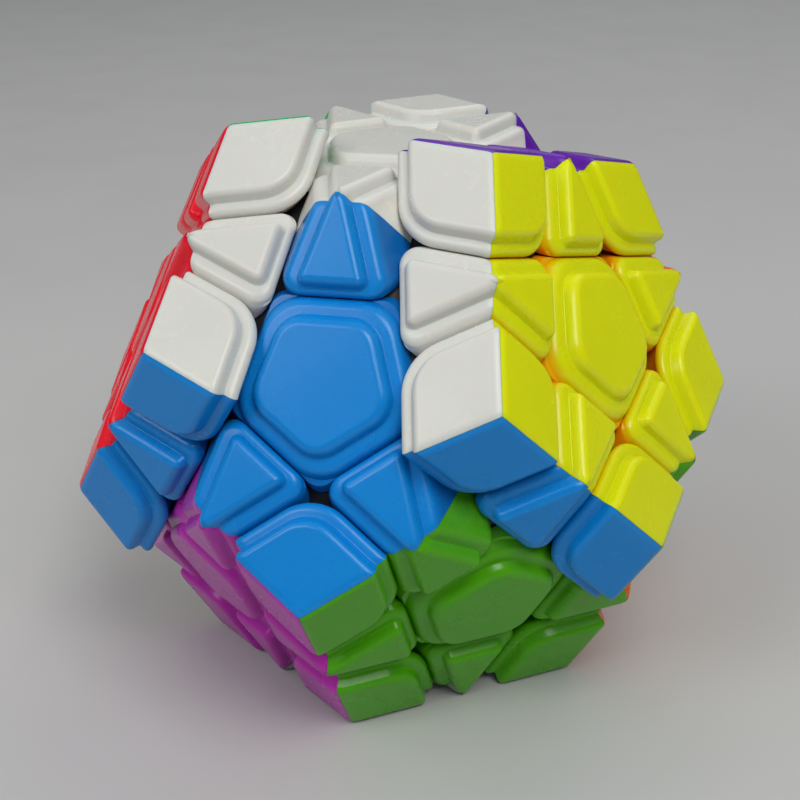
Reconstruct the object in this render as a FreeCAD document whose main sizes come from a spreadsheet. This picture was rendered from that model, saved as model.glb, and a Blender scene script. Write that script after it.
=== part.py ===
import FreeCAD, Part
import math
import os
from FreeCAD import Placement, Rotation, Vector

# Dodecahedron twisty puzzle: twelve turning faces, made of 12 centres, 30 edges and 20 corners.
# Every layer is cut off by a plane across its face axis. Each outer piece has one coloured tile
# shell per face that it shows, on a foot that runs in a spherical track under its neighbours.
# The frame is in millimetres, with +Z up. The origin is the middle of the grey face, on which
# the puzzle stands, and the dodecahedron's centre is straight above it.

SIZES = {
    "edge_length": 34.0,          # edge of the dodecahedron
    "cut_distance": 25.1,         # from the centre to each layer's cutting plane
    "layer_gap": 0.3,             # running gap between a layer and the rest
    "seam_gap": 0.04,             # between two tiles of one piece
    "ledge_drop": 1.6,            # from the raised middle of a tile down to its ledge
    "step_inset": 1.85,           # from a tile's outline in to its raised middle
    "wall": 1.3,                  # thickness of the tile shells
    "corner_round": 7.0,          # inner corner of a corner tile's outline, and its raised middle
    "corner_step_round": 5.5,
    "edge_round": 2.0,            # inner corners of an edge tile's outline, and its raised middle
    "edge_step_round": 0.8,
    "centre_round": 5.5,          # corners of a centre cap's outline, and its raised middle
    "centre_step_round": 4.0,
    "hollow_round": 3.0,          # inner corner of the hollow in a corner tile
    "edge_hollow_round": 1.0,     # inner corners of the hollow in an edge tile
    "shoulder_radius": 36.0,      # sphere on which the tile shells end
    "foot_outer_radius": 35.7,    # spherical feet run between these two radii
    "foot_inner_radius": 33.8,
    "foot_angle": 50.0,           # half angle of each layer's cone at the feet
    "track_outer_radius": 33.5,   # spherical flange of each centre, under the feet
    "track_inner_radius": 31.8,
    "track_angle": 27.5,          # half angle of that flange
    "corner_neck_radius": 1.6,    # stalk of a corner foot, where it leaves the foot
    "corner_stalk_radius": 3.6,
    "corner_neck_height": 35.0,   # along the corner's own axis, from the centre
    "corner_stalk_height": 38.0,
    "edge_stalk_radius": 3.6,     # stalk of an edge foot, which tapers towards the edge
    "edge_stalk_tip_radius": 1.9,
    "edge_stalk_height": 37.5,
    "edge_stalk_tip": 41.5,
    "stalk_root": 34.5,           # where the stalks start, inside the feet
    "sleeve_base": 22.0,          # sleeve of a centre, on its screw
    "sleeve_floor": 25.5,
    "sleeve_radius": 4.8,
    "sleeve_bore_radius": 3.3,
    "peg_radius": 3.2,            # under the centre cap, plugged into the sleeve
    "peg_base": 33.6,
    "screw_hole_radius": 1.6,
    "screw_radius": 1.3,
    "screw_tip": 11.0,
    "screw_head_base": 31.2,
    "screw_head_height": 1.6,
    "screw_head_radius": 2.9,
    "recess_width": 0.7,
    "recess_length": 3.6,
    "recess_depth": 0.9,
    "washer_base": 30.6,
    "washer_height": 0.55,
    "washer_radius": 3.05,
    "washer_hole_radius": 1.45,
    "spring_base": 25.55,         # room that the coil spring takes, between floor and washer
    "spring_height": 5.0,
    "spring_radius": 2.75,
    "spring_hole_radius": 2.15,
    "core_radius": 21.5,
    "core_wall": 1.6,
    "boss_radius": 3.4,
    "boss_base": 9.5,
    "boss_hole_radius": 1.35,
    "yellow_turn": 54.8,          # how far two layers have been turned
    "red_turn": -45.9,
}

# Angles of the regular dodecahedron.
TILT = math.acos(1 / math.sqrt(5))          # between the axes of neighbouring faces
FIFTH = math.tau / 5

# The same solid's lengths, as expressions on the sheet.
INRADIUS = "Sizes.edge_length * 1.113516364"
LEDGE = f"({INRADIUS} - Sizes.ledge_drop)"
CEILING = f"({LEDGE} - Sizes.wall)"
INSIDE_CUT = "(Sizes.cut_distance + Sizes.layer_gap / 2)"
OUTSIDE_CUT = "(Sizes.cut_distance - Sizes.layer_gap / 2)"
BLOCK = "Sizes.edge_length * 4"

doc = FreeCAD.newDocument("TwistyPuzzle")
sheet = doc.addObject("Spreadsheet::Sheet", "Sizes")
for row, (alias, value) in enumerate(SIZES.items(), 1):
    sheet.set(f"A{row}", alias)
    sheet.set(f"B{row}", str(value))
    sheet.setAlias(f"B{row}", alias)
doc.recompute()


def direction(azimuth, elevation):
    """Unit vector at two angles, in radians."""
    level = math.cos(elevation)
    return Vector(level * math.cos(azimuth), level * math.sin(azimuth), math.sin(elevation))


# Home frame: every kind of piece is modelled once, round a face whose axis is +Z.
TOP = Vector(0, 0, 1)
NEIGHBOURS = [direction(k * FIFTH, math.pi / 2 - TILT) for k in range(5)]


def unit(vector):
    """A vector of length one, leaving the given one as it is."""
    return vector / vector.Length


def bind(solid, **sizes):
    """Ties properties of an object to expressions on the sheet."""
    for name, expression in sizes.items():
        solid.setExpression(name, str(expression))
    return solid


def put_along(solid, axis, distance):
    """Points an object's own Z along an axis, at a distance from the centre tied to the sheet."""
    solid.Placement = Placement(Vector(), Rotation(TOP, axis))
    for letter in "xyz":
        solid.setExpression(f"Placement.Base.{letter}", f"{getattr(axis, letter):.9f} * ({distance})")
    return solid


def beyond(name, axis, distance):
    """Half space past a plane across an axis, as a block larger than the puzzle."""
    block = bind(doc.addObject("Part::Cylinder", name), Radius=BLOCK, Height=BLOCK)
    return put_along(block, axis, distance)


def short_of(name, axis, distance):
    """Half space before a plane across an axis."""
    return beyond(name, axis.negative(), f"-({distance})")


def ball(name, radius):
    """Sphere round the dodecahedron's centre."""
    return bind(doc.addObject("Part::Sphere", name), Radius=radius)


def rod(name, axis, start, end, radius):
    """Cylinder along an axis, between two distances from the centre."""
    solid = bind(doc.addObject("Part::Cylinder", name), Radius=radius, Height=f"({end}) - ({start})")
    return put_along(solid, axis, start)


def taper(name, axis, start, end, start_radius, end_radius):
    """Cone along an axis, between two distances from the centre."""
    solid = doc.addObject("Part::Cone", name)
    bind(solid, Radius1=start_radius, Radius2=end_radius, Height=f"({end}) - ({start})")
    return put_along(solid, axis, start)


def layer_cone(name, axis, angle, grow):
    """Cone that bounds a layer at the feet; its surface moves out by grow."""
    half_angle = f"(Sizes.{angle} * 1 deg)"
    end = "Sizes.edge_length * 1.5"
    apex = f"-({grow}) / sin{half_angle}"
    return taper(name, axis, apex, end, 0, f"(({end}) - ({apex})) * tan{half_angle}")


def common(name, *solids):
    """What all the given solids share."""
    result = doc.addObject("Part::MultiCommon", name)
    result.Shapes = list(solids)
    return result


def fuse(name, *solids):
    """The given solids as one."""
    result = doc.addObject("Part::MultiFuse", name)
    result.Shapes = list(solids)
    return result


def cut(name, base, *tools):
    """A solid less some tools."""
    result = doc.addObject("Part::Cut", name)
    result.Base = base
    result.Tool = tools[0] if len(tools) == 1 else fuse(f"{name}_tools", *tools)
    return result


def rounded(name, base, runs, alias):
    """Rounds every edge of a solid that runs along one of the given directions."""
    doc.recompute()
    radius = sheet.get(alias)
    numbers = []
    for number, edge in enumerate(base.Shape.Edges, 1):
        along = edge.tangentAt(edge.FirstParameter)
        if any(abs(along.dot(unit(run))) > 0.9999 for run in runs):
            numbers.append((number, radius, radius))
    result = doc.addObject("Part::Fillet", name)
    result.Base = base
    result.Edges = numbers
    return result


def step_line(cut_plane, inset):
    """Distance from a face's axis to the wall of a tile's raised middle."""
    cosine = math.cos(TILT)
    sine = math.sin(TILT)
    return f"(({cut_plane} - {cosine:.9f} * {LEDGE}) / {sine:.9f} + {inset})"


def tile(kind, inside, outside, shared, rounds):
    """Coloured shell of one face of a piece: a ledge all round, with a raised middle on it.

    inside and outside number the neighbouring faces whose layers do and don't hold the piece.
    shared numbers the faces that the piece's other tiles show. rounds names the corner radii of
    the outline, of the raised middle and of the hollow.
    """
    joints = inside + outside
    corners = [
        NEIGHBOURS[a].cross(NEIGHBOURS[b])
        for a in joints
        for b in joints
        if a < b and NEIGHBOURS[a].dot(NEIGHBOURS[b]) > 0 and (a in inside or b in inside or not inside)
    ]
    seams = [
        beyond(f"{kind}_seam_{k}", unit(TOP - NEIGHBOURS[k]), "Sizes.seam_gap / 2")
        for k in shared
    ]

    def walls(label, move):
        """Cutting planes of the piece, moved into it."""
        planes = [beyond(f"{kind}_{label}_{k}", NEIGHBOURS[k], f"{INSIDE_CUT} + {move}") for k in inside]
        planes += [short_of(f"{kind}_{label}_{k}", NEIGHBOURS[k], f"{OUTSIDE_CUT} - {move}") for k in outside]
        return planes

    outline_round, step_round, hollow_round = rounds
    ledge = common(
        f"{kind}_ledge_sharp",
        short_of(f"{kind}_ledge_top", TOP, LEDGE),
        beyond(f"{kind}_ledge_base", TOP, f"{LEDGE} / 2"),
        *seams,
        *walls("cut", "0"),
    )
    ledge = rounded(f"{kind}_ledge", ledge, corners, outline_round)

    upright = [
        beyond(f"{kind}_step_{k}", level(NEIGHBOURS[k]), step_line(INSIDE_CUT, "Sizes.step_inset"))
        for k in inside
    ]
    upright += [
        short_of(f"{kind}_step_{k}", level(NEIGHBOURS[k]), step_line(OUTSIDE_CUT, "-Sizes.step_inset"))
        for k in outside
    ]
    middle = common(
        f"{kind}_middle_sharp",
        short_of(f"{kind}_middle_top", TOP, INRADIUS),
        beyond(f"{kind}_middle_base", TOP, f"{LEDGE} - Sizes.wall / 2"),
        *seams,
        *upright,
    )
    middle = rounded(f"{kind}_middle", middle, [TOP], step_round)
    body = fuse(f"{kind}_body", ledge, middle)
    shoulder = ball(f"{kind}_shoulder", "Sizes.shoulder_radius")
    if not hollow_round:
        return cut(f"{kind}_shell", body, shoulder)
    hollow = common(
        f"{kind}_hollow_sharp",
        short_of(f"{kind}_hollow_top", TOP, CEILING),
        *walls("hollow", "Sizes.wall"),
    )
    hollow = rounded(f"{kind}_hollow", hollow, corners, hollow_round)
    return cut(f"{kind}_shell", body, hollow, shoulder)


def level(vector):
    """The part of a direction that lies across the home face's axis, at length one."""
    return unit(Vector(vector.x, vector.y, 0))


def corner_tile():
    """One of the three tiles of a corner, on the face between neighbours 0 and 1."""
    return tile("corner_tile", [0, 1], [], [0, 1], ("corner_round", "corner_step_round", "hollow_round"))


def edge_tile():
    """One of the two tiles of an edge; the other shows neighbour 0."""
    return tile("edge_tile", [0], [1, 4], [0], ("edge_round", "edge_step_round", "edge_hollow_round"))


def centre_cap():
    """Pentagonal cap of a centre, with a peg that plugs into the sleeve under it."""
    shell = tile("centre_cap", [], [0, 1, 2, 3, 4], [], ("centre_round", "centre_step_round", None))
    peg = rod("centre_peg", TOP, "Sizes.peg_base", LEDGE, "Sizes.peg_radius")
    return fuse("centre_cap", shell, peg)


def foot_pad(kind, inside, outside):
    """Spherical pad that a piece runs on, wider than its tiles where neighbours cover it."""
    pad = common(
        f"{kind}_pad_sharp",
        ball(f"{kind}_pad_top", "Sizes.foot_outer_radius"),
        *[layer_cone(f"{kind}_in_{k}", axis, "foot_angle", "-Sizes.layer_gap / 2")
          for k, axis in enumerate(inside)],
    )
    return cut(
        f"{kind}_pad",
        pad,
        ball(f"{kind}_pad_base", "Sizes.foot_inner_radius"),
        *[layer_cone(f"{kind}_out_{k}", axis, "foot_angle", "Sizes.layer_gap / 2")
          for k, axis in enumerate(outside)],
    )


def corner_foot():
    """Foot of a corner, with a stalk that widens inside its three tiles."""
    faces = [TOP, NEIGHBOURS[0], NEIGHBOURS[1]]
    axis = unit(faces[0] + faces[1] + faces[2])
    neck = rod("corner_neck", axis, "Sizes.stalk_root", "Sizes.corner_neck_height + 0.2",
               "Sizes.corner_neck_radius")
    flare = taper("corner_flare", axis, "Sizes.corner_neck_height", "Sizes.corner_stalk_height",
                  "Sizes.corner_neck_radius", "Sizes.corner_stalk_radius")
    head = rod("corner_head", axis, "Sizes.corner_stalk_height", "Sizes.edge_length * 1.4",
               "Sizes.corner_stalk_radius")
    ceilings = [short_of(f"corner_ceiling_{k}", face, CEILING) for k, face in enumerate(faces)]
    stalk = common("corner_stalk", fuse("corner_stalk_long", neck, flare, head), *ceilings)
    return fuse("corner_foot", foot_pad("corner", faces, []), stalk)


def edge_foot():
    """Foot of an edge, with a round stalk that ends under the roof of its two tiles."""
    faces = [TOP, NEIGHBOURS[0]]
    axis = unit(faces[0] + faces[1])
    post = rod("edge_post", axis, "Sizes.stalk_root", "Sizes.edge_stalk_height", "Sizes.edge_stalk_radius")
    tip = taper("edge_tip", axis, "Sizes.edge_stalk_height", "Sizes.edge_stalk_tip",
                "Sizes.edge_stalk_radius", "Sizes.edge_stalk_tip_radius")
    ceilings = [short_of(f"edge_ceiling_{k}", face, CEILING) for k, face in enumerate(faces)]
    stalk = common("edge_stalk", fuse("edge_stalk_long", post, tip), *ceilings)
    return fuse("edge_foot", foot_pad("edge", faces, [NEIGHBOURS[1], NEIGHBOURS[4]]), stalk)


def centre_base():
    """Sleeve of a centre, which turns on its screw, with the flange that carries the feet."""
    slope = f"tan({math.degrees(TILT):.6f} deg - Sizes.foot_angle * 1 deg)"
    top = "Sizes.shoulder_radius"
    base = "Sizes.track_inner_radius"
    tube = rod("sleeve_tube", TOP, "Sizes.sleeve_base", top, "Sizes.sleeve_radius")
    guide = taper("sleeve_guide", TOP, base, top,
                  f"{base} * {slope} - Sizes.layer_gap / 2", f"{top} * {slope} - Sizes.layer_gap / 2")
    sleeve = common("sleeve", fuse("sleeve_long", tube, guide), ball("sleeve_top", top))
    flange = cut(
        "flange",
        common(
            "flange_sharp",
            ball("flange_top", "Sizes.track_outer_radius"),
            layer_cone("flange_rim", TOP, "track_angle", "0"),
        ),
        ball("flange_base", "Sizes.track_inner_radius"),
    )
    return cut(
        "centre_base",
        fuse("centre_base_solid", sleeve, flange),
        rod("sleeve_bore", TOP, "Sizes.sleeve_floor", "Sizes.edge_length * 1.4", "Sizes.sleeve_bore_radius"),
        rod("sleeve_screw_hole", TOP, 0, "Sizes.edge_length", "Sizes.screw_hole_radius"),
    )


def screw():
    """Cross-head screw that holds a centre to the core."""
    head_top = "Sizes.screw_head_base + Sizes.screw_head_height"
    shank = rod("screw_shank", TOP, "Sizes.screw_tip", "Sizes.screw_head_base + 0.1", "Sizes.screw_radius")
    head = rod("screw_head", TOP, "Sizes.screw_head_base", head_top, "Sizes.screw_head_radius")
    slots = []
    for name, turn in (("slot_one", 0), ("slot_two", 90)):
        slot = doc.addObject("Part::Box", name)
        bind(slot, Length="Sizes.recess_length", Width="Sizes.recess_width", Height="Sizes.recess_depth + 1")
        slot.Placement = Placement(Vector(), Rotation(TOP, turn))
        along = ("x", "y") if turn == 0 else ("y", "x")
        slot.setExpression(f"Placement.Base.{along[0]}", "-Sizes.recess_length / 2")
        sign = "-" if turn == 0 else ""
        slot.setExpression(f"Placement.Base.{along[1]}", f"{sign}Sizes.recess_width / 2")
        slot.setExpression("Placement.Base.z", f"{head_top} - Sizes.recess_depth")
        slots.append(slot)
    return cut("screw", fuse("screw_blank", shank, head), *slots)


def washer():
    """Flat washer between the spring and the screw's head."""
    disc = rod("washer_disc", TOP, "Sizes.washer_base", "Sizes.washer_base + Sizes.washer_height",
               "Sizes.washer_radius")
    hole = rod("washer_hole", TOP, 0, "Sizes.edge_length", "Sizes.washer_hole_radius")
    return cut("washer", disc, hole)


def spring():
    """Coil spring that presses a centre towards the core, as the tube that its turns fill."""
    top = "Sizes.spring_base + Sizes.spring_height"
    turns = rod("spring_turns", TOP, "Sizes.spring_base", top, "Sizes.spring_radius")
    hole = rod("spring_hole", TOP, 0, "Sizes.edge_length", "Sizes.spring_hole_radius")
    return cut("spring", turns, hole)


def core_half():
    """Upper half of the hollow core, with a screw boss on each of its six axes."""
    axes = [TOP] + NEIGHBOURS
    boss_top = "Sizes.core_radius - Sizes.core_wall / 2"
    bosses = [
        rod(f"boss_{k}", axis, "Sizes.boss_base", boss_top, "Sizes.boss_radius")
        for k, axis in enumerate(axes)
    ]
    holes = [
        rod(f"boss_hole_{k}", axis, "Sizes.boss_base + 1", "Sizes.edge_length", "Sizes.boss_hole_radius")
        for k, axis in enumerate(axes)
    ]
    shell = cut(
        "core_shell",
        common(
            "core_dome",
            ball("core_ball", "Sizes.core_radius"),
            beyond("core_split", TOP, "Sizes.seam_gap / 2"),
        ),
        ball("core_hollow", "Sizes.core_radius - Sizes.core_wall"),
    )
    return cut("core_half", fuse("core_bossed", shell, *bosses), *holes)


# The twelve faces, counter-clockwise from above in each ring, starting at the front.
RING_TILT = math.pi / 2 - TILT
FACES = {"white": Vector(0, 0, 1), "grey": Vector(0, 0, -1)}
for step, colour in enumerate(("blue", "yellow", "purple", "green", "red")):
    FACES[colour] = direction(-math.pi / 2 + step * FIFTH, RING_TILT)
for step, colour in enumerate(("lime", "orange", "sky", "cream", "pink")):
    FACES[colour] = direction(-math.pi / 2 + (step + 0.5) * FIFTH, -RING_TILT)

# Layers that turn in this position of the puzzle, and how far each has been turned.
TURNS = {"yellow": "yellow_turn", "red": "red_turn", "sky": None}


def touch(first, second):
    """Whether two different faces share an edge of the dodecahedron."""
    return 0 < FACES[first].dot(FACES[second]) < 0.9


def facing(face, neighbour):
    """Rotation that brings the home face to a face, with neighbour 0 on a given neighbour."""
    axis = FACES[face]
    across = FACES[neighbour] - axis * axis.dot(FACES[neighbour])
    return Rotation(across, Vector(), axis, "ZXY")


def holder(*faces):
    """The body that a piece showing these faces belongs to."""
    layers = [f"{face}_layer" for face in faces if face in TURNS]
    return layers[0] if layers else "body"


def sub_part(label, copies, holding):
    """One sub-part: pieces turned into place, as a group of separate solids."""
    links = []
    for number, (source, rotation) in enumerate(copies, 1):
        link = doc.addObject("App::Link", f"{label}_{number}")
        link.LinkedObject = source
        link.LinkTransform = True
        link.Placement = Placement(Vector(), rotation)
        links.append(link)
    group = doc.addObject("Part::Compound", label)
    group.Label = label
    group.Links = links
    turn = Rotation()
    for face, alias in TURNS.items():
        if alias and holding == holder(face):
            turn = Rotation(FACES[face], sheet.get(alias))
    group.Placement = Placement(Vector(), turn)
    group.setExpression("Placement.Base.z", INRADIUS)
    return group


def corner_places():
    """Every corner tile: the faces of its piece, its own first, and its rotation."""
    for face in FACES:
        for second in FACES:
            for third in FACES:
                if not (touch(face, second) and touch(face, third) and touch(second, third)):
                    continue
                if FACES[face].cross(FACES[second]).dot(FACES[third]) > 0:
                    yield (face, second, third), facing(face, second)


def edge_places():
    """Every edge tile: the faces of its piece, its own first, and its rotation."""
    for face in FACES:
        for second in FACES:
            if touch(face, second):
                yield (face, second), facing(face, second)


def centre_places():
    """Every centre: its face and its rotation."""
    for face in FACES:
        yield (face,), facing(face, next(other for other in FACES if touch(face, other)))


def tile_groups(source, places):
    """Copies of a tile, by the body that holds them and the colour that they show."""
    groups = {}
    for faces, rotation in places:
        groups.setdefault((holder(*faces), faces[0]), []).append((source, rotation))
    return groups


def piece_groups(source, places):
    """Copies of a foot, one for each piece, by the body that holds them."""
    groups = {}
    seen = set()
    for faces, rotation in places:
        if frozenset(faces) not in seen:
            seen.add(frozenset(faces))
            groups.setdefault(holder(*faces), []).append((source, rotation))
    return groups


def build():
    """Makes every sub-part."""
    parts = []
    corners = tile_groups(corner_tile(), corner_places())
    edges = tile_groups(edge_tile(), edge_places())
    for (holding, colour), copies in corners.items():
        edge_copies = edges[holding, colour]
        if holding == holder(colour) and colour in TURNS:
            parts.append(sub_part(f"{holding}_{colour}_corner_tiles", copies, holding))
            parts.append(sub_part(f"{holding}_{colour}_edge_tiles", edge_copies, holding))
        else:
            parts.append(sub_part(f"{holding}_{colour}_tiles", copies + edge_copies, holding))
    cap = centre_cap()
    for faces, rotation in centre_places():
        parts.append(sub_part(f"{faces[0]}_centre_cap", [(cap, rotation)], holder(*faces)))
    hidden = (
        ("corner_feet", corner_foot(), corner_places()),
        ("edge_feet", edge_foot(), edge_places()),
        ("centre_sleeves", centre_base(), centre_places()),
    )
    for name, source, places in hidden:
        for holding, copies in piece_groups(source, places).items():
            parts.append(sub_part(f"{holding}_{name}", copies, holding))
    for name, source in (("axle_screws", screw()), ("axle_washers", washer()), ("axle_springs", spring())):
        parts.append(sub_part(name, [(source, rotation) for _faces, rotation in centre_places()], "body"))
    half = core_half()
    parts.append(sub_part("core_upper_half", [(half, facing("white", "blue"))], "body"))
    parts.append(sub_part("core_lower_half", [(half, facing("grey", "lime"))], "body"))
    return parts


def write(parts):
    """Checks every object of the document, then writes each sub-part to its own file."""
    doc.recompute()
    for item in doc.Objects:
        if {"Invalid", "Error"} & set(item.State):
            raise RuntimeError(f"{item.Label} failed: {item.State}")
    for part in parts:
        if part.Shape.isNull() or not part.Shape.isValid():
            raise RuntimeError(f"{part.Label} has no valid shape")
    os.makedirs("parts", exist_ok=True)
    total = 0
    for part in parts:
        part.Shape.exportStep(f"parts/{part.Label}.step")
        total += part.Shape.Volume
        print(f"{part.Label}: {len(part.Shape.Solids)} solids, {part.Shape.Volume / 1000:.2f} cm3")
    print(f"{len(parts)} sub-parts, {total / 1000:.1f} cm3")


write(build())
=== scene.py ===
"""Dodecahedron twisty puzzle: moulded two-step tiles in twelve colours round a hidden mechanism."""
import math

import bpy
import bmesh
from mathutils import Matrix, Vector


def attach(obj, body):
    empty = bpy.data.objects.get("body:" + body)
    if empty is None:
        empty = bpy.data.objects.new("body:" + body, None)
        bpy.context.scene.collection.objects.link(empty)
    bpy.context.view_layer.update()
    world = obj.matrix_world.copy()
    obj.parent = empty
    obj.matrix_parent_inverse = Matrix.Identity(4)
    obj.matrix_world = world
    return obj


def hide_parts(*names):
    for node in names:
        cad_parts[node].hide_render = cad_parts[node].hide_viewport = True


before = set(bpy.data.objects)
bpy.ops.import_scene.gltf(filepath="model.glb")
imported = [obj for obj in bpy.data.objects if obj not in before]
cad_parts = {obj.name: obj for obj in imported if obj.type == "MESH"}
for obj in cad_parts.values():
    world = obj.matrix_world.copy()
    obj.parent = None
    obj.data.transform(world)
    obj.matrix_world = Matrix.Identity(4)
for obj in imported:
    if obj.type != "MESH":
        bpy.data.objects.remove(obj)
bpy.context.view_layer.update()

MM = 0.001

# ---------------------------------------------------------------------------------------------
# Sizes in millimetres, as the frame has them
# ---------------------------------------------------------------------------------------------
EDGE = 34.0                      # edge of the dodecahedron
INRADIUS = EDGE * 1.113516364    # from its centre to a face
APOTHEM = EDGE * 0.688190960     # from a face's middle to its sides
TILT = math.acos(1 / math.sqrt(5))   # between the axes of neighbouring faces, in radians
FIFTH = math.tau / 5
CENTRE = Vector((0, 0, INRADIUS))    # of the dodecahedron, which stands on its grey face

# Layers and the gaps between the pieces.
CUT = 25.1                       # from the centre to each layer's cutting plane
CUT_LEAN = math.pi / 2 - TILT    # of the cut walls, from a face's axis
GAP = 0.1                        # between the tiles of a layer and the rest
SEAM = 0.04                      # between two tiles of one piece
SEAM_LEAN = APOTHEM / INRADIUS   # slope of the planes through the dodecahedron's edges
SHOULDER = 36.0                  # sphere on which the tile shells end
YELLOW_TURN = 54.8               # how far two layers have been turned, in degrees
RED_TURN = -45.9

# Profile of a tile from its raised middle out to its rim.
LEDGE_DROP = 1.6                 # from the raised middle down to the ledge
LEDGE_FALL = 0.02                # how much the ledge falls on its way out to the rim
FOOT_ROUND = 0.2                 # where the raised middle meets the ledge
RIM_ROUNDS = {"inner": 0.95, "outer": 1.35}   # outer edge of the ledge
LEAST_ROUND = 0.12               # smallest radius of a rounded corner
MOST_OF_SIDE = 0.48              # share of a side that one rounded corner may take up
FLANGE_DEPTH = 3.05              # where a cap's rounded corners widen again, down in the gaps
FLANGE_FALL = 0.066              # and how much deeper they have done so

# Rounding of the dodecahedron's own edges, which fades out down in the gaps.
SEAM_ROUND = 2.0
SEAM_WIDTH = SEAM_ROUND * SEAM_LEAN
SEAM_FADE = 0.6                  # depth below which it fades
SEAM_FADE_OVER = 3.5             # and over how far

# Undersides: tile shells are hollow, and caps have a peg.
WALL = 1.3                       # thickness of the shells
SEAM_OPENING = 3.0               # how far a hollow reaches past a seam
HOLLOW_FLOOR = 11.0              # depth that a hollow is cut down to, past the walls' ends
DEEPEST = 12.0                   # deeper than any wall reaches
PEG_RADIUS = 3.2
PEG_END = 33.6                   # height of its lower end above the dodecahedron's centre
PEG_CHAMFER = 0.3
PEG_NECK = 0.12                  # first stretch of the peg
PEG_TOP = math.sqrt(SHOULDER ** 2 - PEG_RADIUS ** 2)
PEG_RINGS = [
    (PEG_RADIUS, PEG_TOP),
    (PEG_RADIUS, PEG_TOP - PEG_NECK),
    (PEG_RADIUS, PEG_END + PEG_CHAMFER),
    (PEG_RADIUS - PEG_CHAMFER, PEG_END),
]

# How finely the rings of points follow the shape.
TOP_STEPS = 8                    # round the top edge of the raised middle
FOOT_STEPS = 5                   # round its foot
RIM_STEPS = 9                    # round the rim
WALL_STEPS = 5                   # down each wall
HOLLOW_STEPS = 4                 # down each hollow
ARC_STEPS = 10                   # round each rounded corner
SIDE_STEPS = 5                   # along each side
SEAM_STEPS = 6                   # across the rounding of each seam

SHARP_ANGLE = math.radians(34)   # edges that turn more than this stay sharp
FLAT_WEIGHT = 80                 # how much large flat faces count in the smoothing, in percent

# ---------------------------------------------------------------------------------------------
# The dodecahedron's faces and the places of its pieces
# ---------------------------------------------------------------------------------------------


def direction(azimuth, elevation):
    """Unit vector at two angles, in radians."""
    level = math.cos(elevation)
    return Vector((level * math.cos(azimuth), level * math.sin(azimuth), math.sin(elevation)))


FACES = {"white": Vector((0, 0, 1)), "grey": Vector((0, 0, -1))}
for step, colour in enumerate(("blue", "yellow", "purple", "green", "red")):
    FACES[colour] = direction(-math.pi / 2 + step * FIFTH, math.pi / 2 - TILT)
for step, colour in enumerate(("lime", "orange", "sky", "cream", "pink")):
    FACES[colour] = direction(-math.pi / 2 + (step + 0.5) * FIFTH, TILT - math.pi / 2)

TURNS = {"yellow": YELLOW_TURN, "red": RED_TURN, "sky": 0.0}


def touch(first, second):
    """Whether two different faces share an edge of the dodecahedron."""
    return first != second and FACES[first].dot(FACES[second]) > 0


def facing(face, neighbour):
    """Rotation that brings the home face, +Z, to a face, and +X towards a given neighbour."""
    axis = FACES[face]
    across = (FACES[neighbour] - axis * axis.dot(FACES[neighbour])).normalized()
    return Matrix((across, axis.cross(across), axis)).transposed().to_4x4()


def holder(*faces):
    """The body that a piece showing these faces belongs to."""
    layers = [f"{face}_layer" for face in faces if face in TURNS]
    return layers[0] if layers else "body"


def in_place(rotation, holding):
    """Matrix from the home frame in millimetres to the row frame in metres."""
    turn = Matrix()
    for face, angle in TURNS.items():
        if holding == holder(face):
            turn = Matrix.Rotation(math.radians(angle), 4, FACES[face])
    return Matrix.Scale(MM, 4) @ Matrix.Translation(CENTRE) @ turn @ rotation


def corner_places():
    """Every corner tile: the faces of its piece, its own first, and its rotation."""
    for face in FACES:
        for second in FACES:
            for third in FACES:
                if not (touch(face, second) and touch(face, third) and touch(second, third)):
                    continue
                if FACES[face].cross(FACES[second]).dot(FACES[third]) > 0:
                    yield (face, second, third), facing(face, second)


def edge_places():
    """Every edge tile: the faces of its piece, its own first, and its rotation."""
    for face in FACES:
        for second in FACES:
            if touch(face, second):
                yield (face, second), facing(face, second)


def centre_places():
    """Every centre: its face and its rotation."""
    for face in FACES:
        yield (face,), facing(face, next(other for other in FACES if touch(face, other)))


# ---------------------------------------------------------------------------------------------
# Tile meshes: rings of points round the tile, one for each step of its profile
# ---------------------------------------------------------------------------------------------


def cut_line(depth, shift):
    """Distance from a face's axis to a cutting plane moved by shift, at a depth below the face."""
    return (CUT + shift - math.cos(TILT) * (INRADIUS - depth)) / math.sin(TILT)


def seam_line(depth):
    """Distance from a face's axis to the plane between two colours of a piece."""
    return SEAM_LEAN * (INRADIUS - depth) - SEAM / 2 / math.cos(TILT / 2)


class Side:
    """One side of a tile's outline: a cutting plane, or a seam with another colour of its piece.

    kind says which way the tile's cut walls lean: "inner" ones in, as they go down, and "outer"
    ones out. A seam has the kind of the walls it meets.
    """

    def __init__(self, neighbour, kind, seam=False):
        self.kind = kind
        self.seam = seam
        angle = neighbour * FIFTH
        if kind == "inner" and not seam:
            angle += math.pi
        self.normal = Vector((math.cos(angle), math.sin(angle)))

    def rim(self, depth, inset=0.0):
        """Distance to the side along its outward direction, at a depth, moved in by inset."""
        if self.seam:
            return seam_line(depth)
        if self.kind == "inner":
            return -cut_line(depth, GAP / 2) - inset
        return cut_line(depth, -GAP / 2) - inset


def arc(centre, radius, start, end, steps):
    """Points of an arc in the profile plane: how far in from the rim, and how deep."""
    points = []
    for step in range(steps + 1):
        angle = math.radians(start + (end - start) * step / steps)
        points.append((centre[0] + radius * math.cos(angle), centre[1] - radius * math.sin(angle)))
    return points


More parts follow.
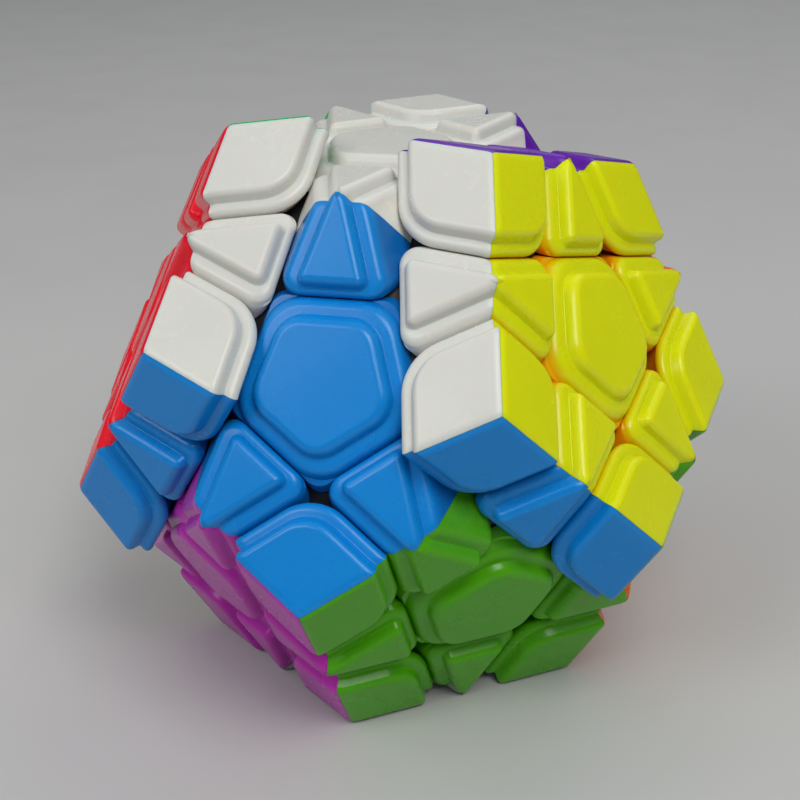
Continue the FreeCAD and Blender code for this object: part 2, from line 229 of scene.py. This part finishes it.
def profile(kind, step_inset, step_round, step_lean):
    """Steps of a side's profile, from the flat middle to its rim, as (inset, depth) pairs.

    The inset is measured from the rim's place at the ledge, so that it can be followed down the
    leaning wall too. step_inset is the foot of the raised middle, step_round the rounding of its
    top edge, and step_lean how far its wall leans, in degrees.
    """
    lean = math.radians(step_lean)
    foot_at = step_inset - FOOT_ROUND
    rounds = FOOT_ROUND + step_round
    straight = LEDGE_DROP - rounds * (1 - math.sin(lean))
    top_at = foot_at + rounds * math.cos(lean) + straight * math.tan(lean)
    top = arc((top_at, step_round), step_round, 90, 180 - step_lean, TOP_STEPS)
    foot = arc((foot_at, LEDGE_DROP - FOOT_ROUND), FOOT_ROUND, -step_lean, -90, FOOT_STEPS)

    # The rim's arc touches the ledge and the cut wall, and tip is the angle between those two.
    wall_lean = -CUT_LEAN if kind == "inner" else CUT_LEAN
    tip = 90 + math.degrees(wall_lean)
    radius = RIM_ROUNDS[kind]
    reach = radius / math.tan(math.radians(tip / 2)) - LEDGE_FALL * math.tan(wall_lean)
    rim = arc((reach, LEDGE_DROP + LEDGE_FALL + radius), radius, 90, 270 - tip, RIM_STEPS)
    return top + foot + rim


def crossing(first, first_offset, second, second_offset):
    """Point where two lines meet, each given by a direction across it and a distance along that."""
    det = first.x * second.y - first.y * second.x
    return Vector((
        (first_offset * second.y - second_offset * first.y) / det,
        (first.x * second_offset - second.x * first_offset) / det,
    ))


def round_corner(corner, before, after, radius):
    """Points round one corner, each with its share of the way round. A sharp one is one point."""
    if radius <= 0:
        return [(corner, 0.5)]
    back, ahead = before - corner, after - corner
    half = back.angle(ahead) / 2
    radius = min(radius, MOST_OF_SIDE * min(back.length, ahead.length) * math.tan(half))
    back.normalize()
    ahead.normalize()
    start = corner + back * radius / math.tan(half)
    middle = corner + (back + ahead).normalized() * radius / math.sin(half)
    points = []
    for step in range(ARC_STEPS + 1):
        share = step / ARC_STEPS
        spoke = Matrix.Rotation((math.pi - 2 * half) * share, 2) @ (start - middle)
        points.append((middle + spoke, share))
    return points


def eased(share):
    """A share from 0 to 1, made to start and end gently."""
    return share * share * (3 - 2 * share)


def outline(sides, offsets, depths, rounds):
    """Closed ring of points round a tile, at each side's offset and depth, with rounded corners.

    sides run counter-clockwise, and corner k lies between side k and the next one.
    """
    count = len(sides)
    corners = [
        crossing(sides[k].normal, offsets[k], sides[(k + 1) % count].normal, offsets[(k + 1) % count])
        for k in range(count)
    ]
    spans = []
    for k in range(count):
        following = (k + 1) % count
        low, high = depths[k], depths[following]
        points = round_corner(corners[k], corners[k - 1], corners[following], rounds[k])
        spans.append([(point, low + (high - low) * eased(share)) for point, share in points])
    ring = []
    for k in range(count):
        ring += spans[k]
        last, first = spans[k][-1], spans[(k + 1) % count][0]
        for step in range(1, SIDE_STEPS):
            share = step / SIDE_STEPS
            ring.append((last[0].lerp(first[0], share), last[1] + (first[1] - last[1]) * share))
    return [Vector((point.x, point.y, INRADIUS - depth)) for point, depth in ring]


class Tile:
    """A kind of tile: its sides, and its corner radii at the rim, the raised middle and the foot."""

    def __init__(self, sides, step, rim_rounds, step_rounds, flange_rounds):
        self.sides = [Side(*side) for side in sides]
        self.step_inset = step[0]
        self.profiles = {kind: profile(kind, *step) for kind in RIM_ROUNDS}
        self.rim_rounds = rim_rounds
        self.step_rounds = step_rounds
        self.flange_rounds = flange_rounds

    def radii(self, inset):
        """Corner radii at an inset from the rim."""
        share = min(1.0, max(0.0, inset / self.step_inset))
        beyond = max(0.0, inset - self.step_inset)
        return [
            0.0 if rim == 0 else max(LEAST_ROUND, rim + (step - rim) * share - beyond)
            for rim, step in zip(self.rim_rounds, self.step_rounds)
        ]

    def step_ring(self, level):
        """Ring of points at one step of the profile."""
        depths = [self.profiles[side.kind][level][1] for side in self.sides]
        insets = [self.profiles[side.kind][level][0] for side in self.sides]
        offsets = [
            side.rim(depth) if side.seam else side.rim(LEDGE_DROP, inset)
            for side, depth, inset in zip(self.sides, depths, insets)
        ]
        return outline(self.sides, offsets, depths, self.radii(insets[0]))

    def wall_ring(self, depth, widening=0.0):
        """Ring of points on the cut walls. widening goes to 1 as their corners get sharper."""
        rounds = [rim + (low - rim) * widening for rim, low in zip(self.radii(0), self.flange_rounds)]
        offsets = [side.rim(depth) for side in self.sides]
        return outline(self.sides, offsets, [depth] * len(offsets), rounds)

    def hollow_ring(self, depth, rounds):
        """Ring of points inside the shell's walls, open past its seams."""
        offsets = [
            side.rim(depth) + SEAM_OPENING if side.seam else side.rim(depth, WALL / math.sin(TILT))
            for side in self.sides
        ]
        return outline(self.sides, offsets, [depth] * len(offsets), rounds)

    def depth_of_sphere(self, number):
        """Depth at which one point of the wall's outline meets the shoulder sphere."""
        low, high = FLANGE_DEPTH, DEEPEST
        while high - low > 1e-5:
            middle = (low + high) / 2
            if self.wall_ring(middle, 1.0)[number].length > SHOULDER:
                low = middle
            else:
                high = middle
        return low

    def skin(self):
        """Rings of points from the tile's middle over its rim and down its walls."""
        rings = [self.step_ring(level) for level in range(len(self.profiles["inner"]))]
        rings.append(self.wall_ring(FLANGE_DEPTH))
        for widening in (0.5, 1.0):
            rings.append(self.wall_ring(FLANGE_DEPTH + FLANGE_FALL * widening ** 2, widening))
        start = FLANGE_DEPTH + FLANGE_FALL
        ends = [self.depth_of_sphere(number) for number in range(len(rings[0]))]
        for step in range(1, WALL_STEPS + 1):
            depths = [start + (end - start) * step / WALL_STEPS for end in ends]
            rings.append([self.wall_ring(depth, 1.0)[number] for number, depth in enumerate(depths)])
        return rings


def underside(base):
    """Rings on the shoulder sphere, from the foot of a tile's walls in to their middle."""
    middle = sum(base, Vector()) / len(base)
    return [
        [point.lerp(middle, share).normalized() * SHOULDER for point in base]
        for share in (0.35, 0.7, 0.9)
    ]


def peg(base):
    """Rings from the foot of a cap's walls over the shoulder sphere to its peg, and down the peg."""
    rings = []
    for radius, height in PEG_RINGS:
        ring = []
        for point in base:
            spoke = Vector((point.x, point.y)).normalized() * radius
            ring.append(Vector((spoke.x, spoke.y, height)))
        rings.append(ring)
    shoulders = [
        [outer.lerp(inner, share).normalized() * SHOULDER for outer, inner in zip(base, rings[0])]
        for share in (0.2, 0.4, 0.6, 0.8)
    ]
    return shoulders + rings


def stitched(rings):
    """Mesh of quads between rings, with its two ends closed."""
    mesh = bmesh.new()
    rows = [[mesh.verts.new(point) for point in ring] for ring in rings]
    for upper, lower in zip(rows, rows[1:]):
        for k in range(len(upper)):
            following = (k + 1) % len(upper)
            mesh.faces.new((upper[k], lower[k], lower[following], upper[following]))
    mesh.faces.new(rows[0])
    mesh.faces.new(reversed(rows[-1]))
    return mesh


def seam_drop(reach):
    """How far the rounding of a seam lowers a tile, at a distance out from where it starts."""
    slant = math.hypot(1, SEAM_LEAN)
    share = min(reach, SEAM_WIDTH) / SEAM_ROUND
    angle = math.atan(SEAM_LEAN) + math.asin((share - SEAM_LEAN) / slant)
    return SEAM_ROUND * (1 - math.cos(angle))


def round_seams(mesh, tile):
    """Round the dodecahedron's own edges, where the tile meets the other colours of its piece."""
    seams = [side.normal.to_3d() for side in tile.sides if side.seam]
    for normal in seams:
        across = normal - Vector((0, 0, SEAM_LEAN))
        for step in range(SEAM_STEPS):
            angle = math.atan(SEAM_LEAN) * step / SEAM_STEPS
            reach = SEAM_ROUND * (math.sin(angle) + SEAM_LEAN * (1 - math.cos(angle)))
            bmesh.ops.bisect_plane(
                mesh,
                geom=mesh.verts[:] + mesh.edges[:] + mesh.faces[:],
                dist=1e-5,
                plane_co=normal * (APOTHEM - SEAM_WIDTH + reach) + CENTRE,
                plane_no=across,
            )
    for vertex in mesh.verts:
        point = vertex.co
        depth = INRADIUS - point.z
        fade = min(1.0, max(0.0, (SEAM_FADE + SEAM_FADE_OVER - depth) / SEAM_FADE_OVER))
        drops = []
        for normal in seams:
            inward = SEAM_LEAN * point.z - normal.dot(point)
            drops.append(seam_drop(SEAM_WIDTH - inward) if inward < SEAM_WIDTH else 0.0)
        vertex.co = point * (1 - math.hypot(*drops) * fade / point.z)


def as_object(name, mesh):
    """Blender object made of a bmesh."""
    data = bpy.data.meshes.new(name)
    mesh.normal_update()
    mesh.to_mesh(data)
    mesh.free()
    piece = bpy.data.objects.new(name, data)
    bpy.context.scene.collection.objects.link(piece)
    return piece


def mark_depths(mesh):
    """Store how deep below its face each point of a tile lies, in millimetres."""
    depths = mesh.attributes.new("depth", "FLOAT", "POINT")
    for stored, vertex in zip(depths.data, mesh.vertices):
        stored.value = INRADIUS - vertex.co.z
    return mesh


def unfolded(mesh):
    """Leave out the pairs of triangles back to back that a cut leaves where only two edges meet."""
    form = bmesh.new()
    form.from_mesh(mesh)
    lone = [point for point in form.verts if len(point.link_edges) == 2]
    around = dict.fromkeys(face for point in lone for face in point.link_faces)
    bmesh.ops.triangulate(form, faces=list(around))
    same = {}
    for face in form.faces:
        same.setdefault(frozenset(face.verts), []).append(face)
    pairs = [face for faces in same.values() if len(faces) == 2 for face in faces]
    bmesh.ops.delete(form, geom=pairs, context="FACES")
    form.to_mesh(mesh)
    form.free()
    return mesh


def hollowed(tile, rounds):
    """Tile shell in the home frame: the outer form less its hollow, whose corners have rounds."""
    outside = tile.skin()
    form = stitched(outside + underside(outside[-1]))
    round_seams(form, tile)
    shell = as_object("shell", form)
    ceiling = LEDGE_DROP + WALL
    stretch = (HOLLOW_FLOOR - ceiling) / HOLLOW_STEPS
    rings = [tile.hollow_ring(ceiling + stretch * step, rounds) for step in range(HOLLOW_STEPS + 1)]
    tool = as_object("hollow", stitched(rings))
    cutter = shell.modifiers.new("hollow", "BOOLEAN")
    cutter.operation = "DIFFERENCE"
    cutter.solver = "EXACT"
    cutter.object = tool
    bpy.context.view_layer.update()
    evaluated = shell.evaluated_get(bpy.context.evaluated_depsgraph_get())
    mesh = bpy.data.meshes.new_from_object(evaluated)
    for piece in (shell, tool):
        bpy.data.objects.remove(piece)
    return mark_depths(unfolded(mesh))


def capped(tile):
    """Centre cap in the home frame: solid, with a peg under it."""
    outside = tile.skin()
    piece = as_object("cap", stitched(outside + peg(outside[-1])))
    mesh = piece.data
    bpy.data.objects.remove(piece)
    return mark_depths(mesh)


# A tile's rounds go corner by corner. Its step is the inset, the rounding and the lean of its
# raised middle, as profile() has them.
CORNER_TILE = Tile(
    [(0, "inner", True), (1, "inner", True), (0, "inner"), (1, "inner")],
    step=(2.2, 1.0, 20),
    rim_rounds=(0, 0, 7.0, 0),
    step_rounds=(0, 0, 5.5, 0),
    flange_rounds=(0, 0, 7.0, 0),
)
EDGE_TILE = Tile(
    [(0, "outer", True), (1, "outer"), (0, "inner"), (4, "outer")],
    step=(1.65, 1.2, 18),
    rim_rounds=(0, 2.0, 2.0, 0),
    step_rounds=(0, 1.1, 1.1, 0),
    flange_rounds=(0, 2.0, 2.0, 0),
)
CENTRE_CAP = Tile(
    [(k, "outer") for k in range(5)],
    step=(1.7, 1.4, 18),
    rim_rounds=(5.5,) * 5,
    step_rounds=(4.2,) * 5,
    flange_rounds=(2.4,) * 5,
)

CORNER_MESH = hollowed(CORNER_TILE, rounds=(0, 0, 5.5, 0))
EDGE_MESH = hollowed(EDGE_TILE, rounds=(0, 1.0, 1.0, 0))
CAP_MESH = capped(CENTRE_CAP)


def gathered(name, copies):
    """One object made of copies of meshes, each put in its place."""
    whole = bmesh.new()
    for mesh, matrix in copies:
        copy = mesh.copy()
        copy.transform(matrix)
        whole.from_mesh(copy)
        bpy.data.meshes.remove(copy)
    piece = as_object(name, whole)
    for face in piece.data.polygons:
        face.use_smooth = True
    piece.data.set_sharp_from_angle(angle=SHARP_ANGLE)
    normals = piece.modifiers.new("normals", "WEIGHTED_NORMAL")
    normals.mode = "FACE_AREA"
    normals.weight = FLAT_WEIGHT
    normals.keep_sharp = True
    return piece


# ---------------------------------------------------------------------------------------------
# Materials
# ---------------------------------------------------------------------------------------------


class Nodes:
    """Node tree of a new material, with short ways to add and join its nodes."""

    def __init__(self, name):
        self.material = bpy.data.materials.new(name)
        self.material.use_nodes = True
        self.tree = self.material.node_tree
        self.shader = self.tree.nodes["Principled BSDF"]
        place = self.tree.nodes.new("ShaderNodeTexCoord")
        self.place = place.outputs["Object"]

    def join(self, value, socket):
        """Link an output to a socket, or set the socket to a constant."""
        if isinstance(value, bpy.types.NodeSocket):
            self.tree.links.new(value, socket)
        else:
            socket.default_value = value

    def noise(self, scale, detail=2.0, roughness=0.5, distortion=0.0):
        node = self.tree.nodes.new("ShaderNodeTexNoise")
        self.join(self.place, node.inputs["Vector"])
        node.inputs["Scale"].default_value = scale
        node.inputs["Detail"].default_value = detail
        node.inputs["Roughness"].default_value = roughness
        node.inputs["Distortion"].default_value = distortion
        return node.outputs["Fac"]

    def stored(self, name):
        """Number that the mesh stores at each point."""
        node = self.tree.nodes.new("ShaderNodeAttribute")
        node.attribute_name = name
        return node.outputs["Fac"]

    def cells(self, scale):
        """Distance from the nearest of points strewn about, one in each cell."""
        node = self.tree.nodes.new("ShaderNodeTexVoronoi")
        self.join(self.place, node.inputs["Vector"])
        node.inputs["Scale"].default_value = scale
        return node.outputs["Distance"]

    def spread(self, value, low, high, to_low=0.0, to_high=1.0):
        """Value from low to high, spread out smoothly between two others."""
        node = self.tree.nodes.new("ShaderNodeMapRange")
        node.interpolation_type = "SMOOTHSTEP"
        self.join(value, node.inputs["Value"])
        node.inputs["From Min"].default_value = low
        node.inputs["From Max"].default_value = high
        node.inputs["To Min"].default_value = to_low
        node.inputs["To Max"].default_value = to_high
        return node.outputs["Result"]

    def maths(self, operation, first, second):
        node = self.tree.nodes.new("ShaderNodeMath")
        node.operation = operation
        self.join(first, node.inputs[0])
        self.join(second, node.inputs[1])
        return node.outputs[0]

    def mix(self, share, first, second):
        node = self.tree.nodes.new("ShaderNodeMix")
        node.data_type = "RGBA"
        self.join(share, node.inputs["Factor"])
        self.join(first, node.inputs["A"])
        self.join(second, node.inputs["B"])
        return node.outputs["Result"]

    def bump(self, height, distance, strength=1.0, below=None):
        node = self.tree.nodes.new("ShaderNodeBump")
        node.inputs["Strength"].default_value = strength
        node.inputs["Distance"].default_value = distance
        self.join(height, node.inputs["Height"])
        if below is not None:
            self.join(below, node.inputs["Normal"])
        return node.outputs["Normal"]


def shade(colour, factor):
    """RGBA of a colour, made lighter or darker."""
    return tuple(min(1.0, part * factor) for part in colour) + (1.0,)


PAINTED_GAP_FROM = 1.65                 # depths, in millimetres, over which the plastic turns to the painted shade and painted glow of the gaps
PAINTED_GAP_TO = 3.8
DULLED = 0.03                    # what handling adds to the roughness
SPECKLED = 0.14                  # how strongly specks of dust show their colour
SPECKS_DULLED = 0.05             # and what they add to the roughness
GLOW = 0.4                       # share of the light that goes into the plastic
GLOW_REACH = 0.002               # and how far it goes, in metres


def moulded(name, colour, roughness=0.26, painted_gap_colour=None):
    """Glossy moulded plastic: faintly uneven, handled, with a little dust on it.

    Its last argument is the colour painted down in the gaps between the tiles: a painted shade or a
    painted glow, standing in for the light there.
    """
    nodes = Nodes(name)
    shader = nodes.shader
    cloud = nodes.noise(70.0, 3.0)
    flow = nodes.noise(420.0, 4.0, 0.6, 0.4)
    base = nodes.mix(nodes.spread(cloud, 0.3, 0.7), shade(colour, 0.97), shade(colour, 1.02))
    base = nodes.mix(nodes.spread(flow, 0.35, 0.75, 0.0, 0.03), base, shade(colour, 0.86))

    # Painted light: down in the gaps between the tiles the colour turns to a painted shade or a painted
    # glow.
    depth = nodes.stored("depth")
    base = nodes.mix(nodes.spread(depth, PAINTED_GAP_FROM, PAINTED_GAP_TO), base, shade(painted_gap_colour or colour, 1.0))

    # Handling leaves dull patches.
    smudge = nodes.spread(nodes.noise(110.0, 5.0, 0.62, 1.2), 0.5, 0.72)
    rough = nodes.spread(flow, 0.3, 0.7, roughness - 0.012, roughness + 0.012)
    rough = nodes.maths("ADD", rough, nodes.maths("MULTIPLY", smudge, DULLED))

    # Dust: one small speck in a cell, only here and there, lighter than the plastic and dull.
    cell = nodes.cells(1500.0)
    sparse = nodes.spread(nodes.noise(300.0, 2.0), 0.62, 0.7)
    dust = nodes.maths("MULTIPLY", nodes.spread(cell, 0.16, 0.06), sparse)
    pale = shade([0.55 + part * 0.35 for part in colour], 1.0)
    base = nodes.mix(nodes.maths("MULTIPLY", dust, SPECKLED), base, pale)
    rough = nodes.maths("ADD", rough, nodes.maths("MULTIPLY", dust, SPECKS_DULLED))

    nodes.join(base, shader.inputs["Base Color"])
    nodes.join(rough, shader.inputs["Roughness"])
    # Moulded faces are not quite flat, with a very fine grain.
    soft = nodes.bump(nodes.noise(150.0, 0.0), 0.00002)
    fine = nodes.bump(nodes.noise(5200.0, 2.0, 0.6), 0.000002, 0.5, soft)
    nodes.join(fine, shader.inputs["Normal"])
    shader.inputs["IOR"].default_value = 1.5
    shader.inputs["Specular IOR Level"].default_value = 0.3
    shader.inputs["Subsurface Weight"].default_value = GLOW
    shader.inputs["Subsurface Radius"].default_value = (1.0, 0.4, 0.25)
    shader.inputs["Subsurface Scale"].default_value = GLOW_REACH
    return nodes.material


def steel(name):
    """Bright zinc-plated steel, faintly tarnished, with a fine grain."""
    nodes = Nodes(name)
    shader = nodes.shader
    shader.inputs["Metallic"].default_value = 1.0
    tarnish = nodes.spread(nodes.noise(500.0, 5.0, 0.6), 0.4, 0.75)
    base = nodes.mix(tarnish, (0.62, 0.62, 0.60, 1.0), (0.42, 0.41, 0.38, 1.0))
    nodes.join(base, shader.inputs["Base Color"])
    nodes.join(nodes.spread(nodes.noise(1800.0, 4.0), 0.3, 0.7, 0.2, 0.38), shader.inputs["Roughness"])
    nodes.join(nodes.bump(nodes.noise(7000.0, 3.0), 0.00001), shader.inputs["Normal"])
    return nodes.material


COLOURS = {
    "white": (0.62, 0.625, 0.585),
    "grey": (0.40, 0.41, 0.43),
    "blue": (0.003, 0.225, 0.63),
    "yellow": (0.71, 0.75, 0.003),
    "purple": (0.12, 0.012, 0.37),
    "green": (0.006, 0.50, 0.11),
    "red": (0.86, 0.004, 0.025),
    "lime": (0.075, 0.37, 0.002),
    "orange": (0.88, 0.16, 0.01),
    "sky": (0.14, 0.56, 0.82),
    "cream": (0.84, 0.77, 0.52),
    "pink": (0.46, 0.028, 0.40),
}

# Painted light in the gaps between the tiles: a painted shade for blue, a painted orange glow for yellow,
# and a lighter, warmer painted glow for white.
PAINTED_GAP_COLOURS = {
    "white": (0.76, 0.735, 0.68),
    "yellow": (0.95, 0.33, 0.0),
    "blue": (0.002, 0.13, 0.44),
}

PLASTICS = {
    name: moulded(f"{name}_plastic", colour, painted_gap_colour=PAINTED_GAP_COLOURS.get(name))
    for name, colour in COLOURS.items()
}
FOOT_PLASTIC = moulded("foot_plastic", (0.018, 0.018, 0.021), roughness=0.42)
CORE_PLASTIC = moulded("core_plastic", (0.52, 0.53, 0.54), roughness=0.45)
STEEL = steel("steel")

# ---------------------------------------------------------------------------------------------
# The tiles and caps, one object for each CAD node that they stand for
# ---------------------------------------------------------------------------------------------


def tile_groups():
    """For each CAD node of tiles: its body, its colour, and its tiles' meshes and places."""
    groups = {}
    for mesh, places in ((EDGE_MESH, edge_places()), (CORNER_MESH, corner_places())):
        for faces, rotation in places:
            colour, holding = faces[0], holder(*faces)
            node = f"{holding}_{colour}_tiles"
            if holding == f"{colour}_layer":
                sort = "edge" if mesh is EDGE_MESH else "corner"
                node = f"{holding}_{colour}_{sort}_tiles"
            copies = groups.setdefault(node, (holding, colour, []))[2]
            copies.append((mesh, in_place(rotation, holding)))
    return groups


def finish_piece(piece, body, material, slot, *nodes):
    """Give a new piece its material and its body, and hide the CAD nodes it stands for."""
    piece.data.materials.append(material)
    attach(piece, body)
    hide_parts(*nodes)


for node, (holding, colour, copies) in tile_groups().items():
    piece = gathered(f"{node}_moulded", copies)
    finish_piece(piece, holding, PLASTICS[colour], f"{colour}_plastic", node)

for faces, rotation in centre_places():
    colour, holding = faces[0], holder(*faces)
    piece = gathered(f"{colour}_cap_moulded", [(CAP_MESH, in_place(rotation, holding))])
    finish_piece(piece, holding, PLASTICS[colour], f"{colour}_plastic", f"{colour}_centre_cap")

# ---------------------------------------------------------------------------------------------
# Springs: a real coil on each axle
# ---------------------------------------------------------------------------------------------
SPRING_FOOT = 25.55              # from the dodecahedron's centre
SPRING_HEAD = 30.55
WIRE = 0.3                       # radius of the wire
COIL = 2.45                      # and of the coil, to the wire's middle
TURNS_OF_WIRE = 4.25
COIL_STEPS = 20                  # in each turn
WIRE_SIDES = 8


def coil():
    """Helical spring on the home axis."""
    rings = []
    steps = round(TURNS_OF_WIRE * COIL_STEPS)
    for step in range(steps + 1):
        share = step / steps
        angle = share * TURNS_OF_WIRE * math.tau
        outward = Vector((math.cos(angle), math.sin(angle), 0))
        height = SPRING_FOOT + WIRE + (SPRING_HEAD - SPRING_FOOT - 2 * WIRE) * share
        middle = outward * COIL + Vector((0, 0, height))
        ring = []
        for k in range(WIRE_SIDES):
            around = k / WIRE_SIDES * math.tau
            ring.append(middle + (outward * math.cos(around) + Vector((0, 0, math.sin(around)))) * WIRE)
        rings.append(ring)
    return stitched(rings)


spring = as_object("coil", coil())
coils = [(spring.data, in_place(rotation, "body")) for _, rotation in centre_places()]
springs = gathered("axle_coils", coils)
bpy.data.objects.remove(spring)
finish_piece(springs, "body", STEEL, "steel", "axle_springs")

# ---------------------------------------------------------------------------------------------
# The mechanism's own nodes keep their shape and get these materials
# ---------------------------------------------------------------------------------------------
for name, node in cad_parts.items():
    if node.hide_render:         # a new piece stands for it
        continue
    material = FOOT_PLASTIC
    if name.startswith("core"):
        material = CORE_PLASTIC
    if name in ("axle_screws", "axle_washers"):
        material = STEEL
    for material_slot in node.material_slots:
        material_slot.material = material

# ---------------------------------------------------------------------------------------------
# Floor, light and camera
# ---------------------------------------------------------------------------------------------
MIDDLE = CENTRE * MM
FLOOR_REACH = 3.0                # from the floor's middle to its sides, in metres


def floor():
    """Large pale floor under the object."""
    mesh = bmesh.new()
    bmesh.ops.create_grid(mesh, x_segments=1, y_segments=1, size=FLOOR_REACH)
    plane = as_object("floor", mesh)
    nodes = Nodes("floor_paint")
    paint = nodes.mix(nodes.noise(9.0, 3.0), (0.47, 0.47, 0.465, 1.0), (0.50, 0.50, 0.495, 1.0))
    nodes.join(paint, nodes.shader.inputs["Base Color"])
    nodes.join(nodes.spread(nodes.noise(40.0, 4.0), 0.3, 0.7, 0.6, 0.75), nodes.shader.inputs["Roughness"])
    plane.data.materials.append(nodes.material)


def softbox(name, place, size, power, colour=(1.0, 1.0, 1.0)):
    """Square area light at a place, turned to the middle of the object."""
    light = bpy.data.lights.new(name, "AREA")
    light.shape = "SQUARE"
    light.size = size
    light.energy = power
    light.color = colour
    lamp = bpy.data.objects.new(name, light)
    bpy.context.scene.collection.objects.link(lamp)
    lamp.location = place
    lamp.rotation_euler = (MIDDLE - place).to_track_quat("-Z", "Y").to_euler()


def at(azimuth, elevation, distance):
    """Point round the middle of the object, at two angles in degrees and a distance in metres."""
    return MIDDLE + direction(math.radians(azimuth), math.radians(elevation)) * distance


floor()
bpy.context.scene.view_settings.view_transform = "Standard"
softbox("key", at(-50, 52, 0.75), 0.38, 3.2, (1.0, 0.99, 0.965))
softbox("window", at(-125, 38, 1.0), 0.42, 2.5)
softbox("left", at(-170, 40, 0.8), 0.3, 0.5, (0.97, 0.99, 1.0))
softbox("back", at(80, 45, 0.8), 0.5, 0.8, (0.96, 0.98, 1.0))


def dome(horizon, zenith):
    """World light that grows from the horizon to the zenith."""
    world = bpy.data.worlds.new("studio")
    bpy.context.scene.world = world
    world.use_nodes = True
    tree = world.node_tree
    place = tree.nodes.new("ShaderNodeTexCoord")
    parts = tree.nodes.new("ShaderNodeSeparateXYZ")
    ramp = tree.nodes.new("ShaderNodeMapRange")
    ramp.interpolation_type = "SMOOTHSTEP"
    ramp.inputs["From Min"].default_value = 0.3
    ramp.inputs["From Max"].default_value = 1.0
    ramp.inputs["To Min"].default_value = horizon
    ramp.inputs["To Max"].default_value = zenith
    backdrop = tree.nodes["Background"]
    backdrop.inputs["Color"].default_value = (0.97, 0.985, 1.0, 1.0)
    tree.links.new(place.outputs["Generated"], parts.inputs["Vector"])
    tree.links.new(parts.outputs["Z"], ramp.inputs["Value"])
    tree.links.new(ramp.outputs["Result"], backdrop.inputs["Strength"])


dome(0.07, 0.5)

# The camera, as fitted to the photograph.
EYE = MIDDLE + Vector((51.97, -181.51, 87.05)) * MM
AIM = MIDDLE + Vector((0.47, -0.26, -0.73)) * MM
ROLL = math.radians(1.9)
LENS = 63.9                      # focal length, and the sensor's width below
SENSOR = 36.0

camera = bpy.data.cameras.new("camera")
camera.lens = LENS
camera.sensor_width = SENSOR
camera.clip_start = 0.01
view = bpy.data.objects.new("camera", camera)
bpy.context.scene.collection.objects.link(view)
view.location = EYE
look = (AIM - EYE).to_track_quat("-Z", "Y").to_matrix() @ Matrix.Rotation(-ROLL, 3, "Z")
view.rotation_euler = look.to_euler()
bpy.context.scene.camera = view
